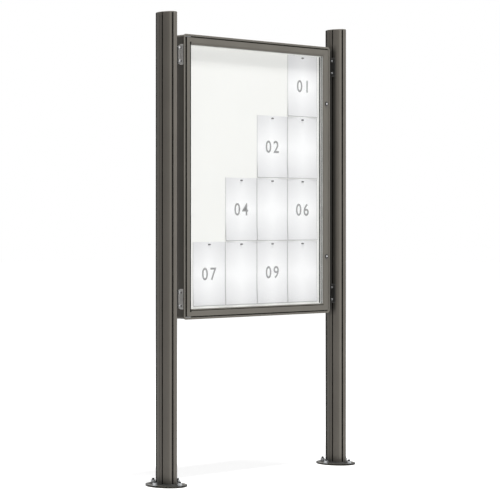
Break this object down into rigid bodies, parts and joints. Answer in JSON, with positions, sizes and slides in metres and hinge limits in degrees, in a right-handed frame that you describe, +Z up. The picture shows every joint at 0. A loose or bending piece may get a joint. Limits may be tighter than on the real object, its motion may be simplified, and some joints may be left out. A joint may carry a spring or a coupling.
{
  "type": "lockable notice board",
  "caption": "Free-standing outdoor notice board: a shallow glazed case with a lockable hinged door between oval slotted posts on bolted foot plates.",
  "frame": {"origin": "on the ground, midway between the two posts and on their centre line", "axes": "+X along the board to the reader's right, +Y to the back, +Z up; the glazed side faces -Y"},
  "size_m": [1.318, 0.212, 2.15],
  "materials": {
    "painted_aluminium": "satin powder coat, umber grey",
    "bracket_steel": "satin stainless",
    "panel_enamel": "smooth off-white enamel on steel",
    "paper": "plain white paper sheets",
    "magnet_grey": "moulded grey cap",
    "black_rubber": "matt",
    "grey_foam": "matt closed-cell foam",
    "light_aluminium": "natural anodised",
    "clear_glass": "clear toughened",
    "zinc_steel": "bright zinc",
    "nylon": "moulded",
    "dark_lock": "satin black",
    "lock_chrome": "polished"
  },
  "bodies": {
    "root": {"anchor_nuts": "zinc_steel", "anchor_studs": "zinc_steel", "anchor_washers": "zinc_steel", "bracket_case_bolts": "zinc_steel", "bracket_case_nuts": "zinc_steel", "bracket_post_bolts": "zinc_steel", "bracket_slot_nuts": "zinc_steel", "case_bottom_rail": "painted_aluminium", "case_corner_brackets": "zinc_steel", "case_left_stile": "painted_aluminium", "case_right_stile": "painted_aluminium", "case_top_rail": "painted_aluminium", "display_panel": "panel_enamel", "door_seal": "black_rubber", "left_base_plate": "painted_aluminium", "left_post": "painted_aluminium", "left_post_cap": "painted_aluminium", "lower_hinge_block": "zinc_steel", "lower_hinge_pin": "zinc_steel", "lower_left_bracket": "bracket_steel", "lower_lock_keeper": "zinc_steel", "lower_right_bracket": "bracket_steel", "magnets": "magnet_grey", "panel_edge_seals": "black_rubber", "paper_sheets": "paper", "rear_cover": "painted_aluminium", "rear_cover_screws": "zinc_steel", "right_base_plate": "painted_aluminium", "right_post": "painted_aluminium", "right_post_cap": "painted_aluminium", "upper_hinge_block": "zinc_steel", "upper_hinge_pin": "zinc_steel", "upper_left_bracket": "bracket_steel", "upper_lock_keeper": "zinc_steel", "upper_right_bracket": "bracket_steel"},
    "door": {"door_bottom_rail": "painted_aluminium", "door_corner_connectors": "zinc_steel", "door_hinge_stile": "painted_aluminium", "door_lock_stile": "painted_aluminium", "door_top_rail": "painted_aluminium", "front_glazing_tape": "grey_foam", "glass_pane": "clear_glass", "glazing_beads": "light_aluminium", "lower_hinge_bush": "nylon", "lower_lock_housing": "dark_lock", "lower_lock_nut": "zinc_steel", "rear_glazing_tape": "grey_foam", "upper_hinge_bush": "nylon", "upper_lock_housing": "dark_lock", "upper_lock_nut": "zinc_steel"},
    "upper_lock": {"upper_lock_plug": "lock_chrome", "upper_lock_cam": "zinc_steel", "upper_cam_screw": "zinc_steel"},
    "lower_lock": {"lower_lock_plug": "lock_chrome", "lower_lock_cam": "zinc_steel", "lower_cam_screw": "zinc_steel"}
  },
  "joints": [
    {"name": "door_hinge", "type": "hinge", "parent": "root", "child": "door", "pos_m": [-0.473, -0.0252, 1.4035], "axis": [0, 0, -1], "range_deg": [0, 105]},
    {"name": "upper_lock_turn", "type": "hinge", "parent": "door", "child": "upper_lock", "pos_m": [0.469, -0.033, 1.7775], "axis": [0, -1, 0], "range_deg": [0, 90]},
    {"name": "lower_lock_turn", "type": "hinge", "parent": "door", "child": "lower_lock", "pos_m": [0.469, -0.033, 1.0295], "axis": [0, -1, 0], "range_deg": [0, 90]}
  ]
}
